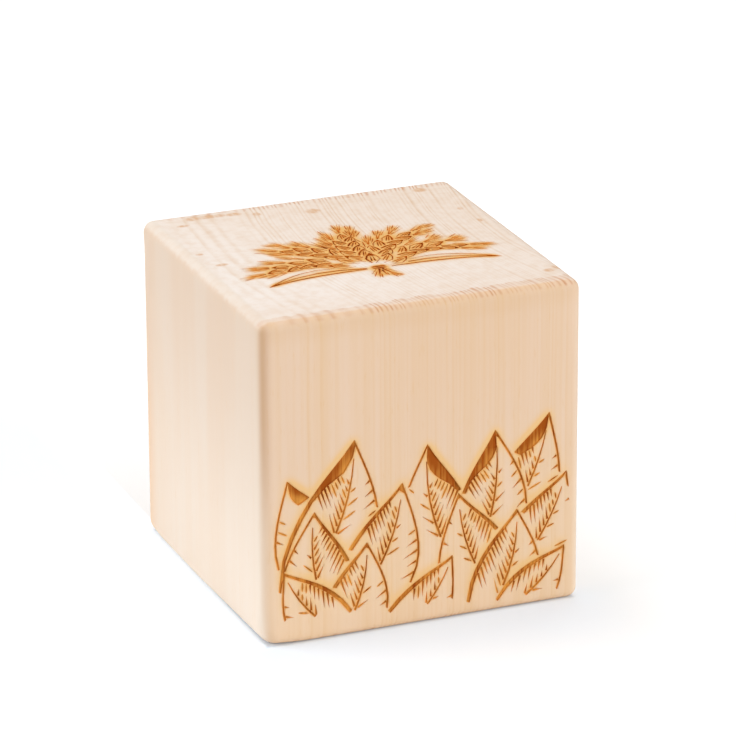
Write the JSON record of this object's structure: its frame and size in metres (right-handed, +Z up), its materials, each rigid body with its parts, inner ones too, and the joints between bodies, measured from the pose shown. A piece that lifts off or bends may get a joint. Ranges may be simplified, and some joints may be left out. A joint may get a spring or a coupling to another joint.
{
  "type": "wooden cube",
  "caption": "Solid cube of pale wood with sanded edges, a shallow burnt frieze of leaves on the front and ears of barley on the top.",
  "frame": {"origin": "middle of the underside", "axes": "+Z up along the grain of the wood; the front, with the leaf frieze, faces -Y; +X to the right seen from the front"},
  "size_m": [0.1, 0.1, 0.1],
  "materials": {
    "pale_wood": "bare sanded softwood, matt, with light brown burnt engraving"
  },
  "bodies": {
    "root": {"block": "pale_wood"}
  },
  "joints": []
}
